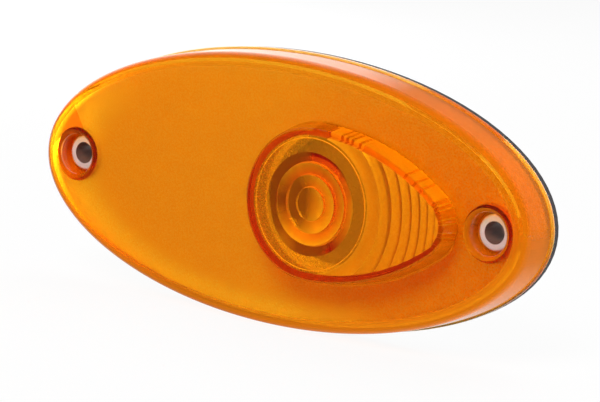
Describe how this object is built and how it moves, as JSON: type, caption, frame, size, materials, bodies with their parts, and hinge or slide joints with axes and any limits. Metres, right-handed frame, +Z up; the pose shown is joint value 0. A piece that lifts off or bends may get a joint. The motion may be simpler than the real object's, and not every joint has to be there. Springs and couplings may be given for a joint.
{
  "type": "side repeater lamp",
  "caption": "Oval surface-mounted side repeater lamp: one-piece amber lens with a raised drop-shaped optic, screw wells with spacer sleeves, sealed base, circuit board and foam gasket.",
  "frame": {"origin": "centre of the mounting face, on the back of the gasket, midway between the two screw holes", "axes": "+X along the long axis towards the narrow tip of the raised window, -Y out of the lens and away from the vehicle, +Z up when mounted level"},
  "size_m": [0.1314, 0.0175, 0.0604],
  "materials": {
    "amber_lens": "polished transparent amber moulding, frosted behind its flat front face",
    "pale_plastic": "fine grained natural moulding",
    "silicone": "soft translucent silicone",
    "foam": "dark grey closed-cell foam",
    "black_rubber": "soft black rubber",
    "white_plastic": "satin white moulding",
    "sleeve_plastic": "milky white nylon, slightly translucent",
    "board": "dark solder mask",
    "steel": "tinned and zinc plated",
    "clear_dome": "clear silicone over a yellow chip",
    "chip_black": "black moulded chip bodies",
    "chip_tan": "tan ceramic"
  },
  "bodies": {
    "root": {"lens": "amber_lens", "base": "pale_plastic", "gasket": "foam", "sealing_bead": "silicone", "reflector_tray": "white_plastic", "sleeve_left": "sleeve_plastic", "sleeve_right": "sleeve_plastic", "sleeve_seal_left": "silicone", "sleeve_seal_right": "silicone", "cable_grommet": "black_rubber", "circuit_board": "board", "board_screws": "steel", "led_body": "white_plastic", "led_dome": "clear_dome", "resistor_bank": "chip_black", "driver_chip": "chip_black", "blocking_diode": "chip_black", "surge_diode": "chip_black", "buffer_capacitor": "chip_tan", "wire_posts": "steel"}
  },
  "joints": []
}
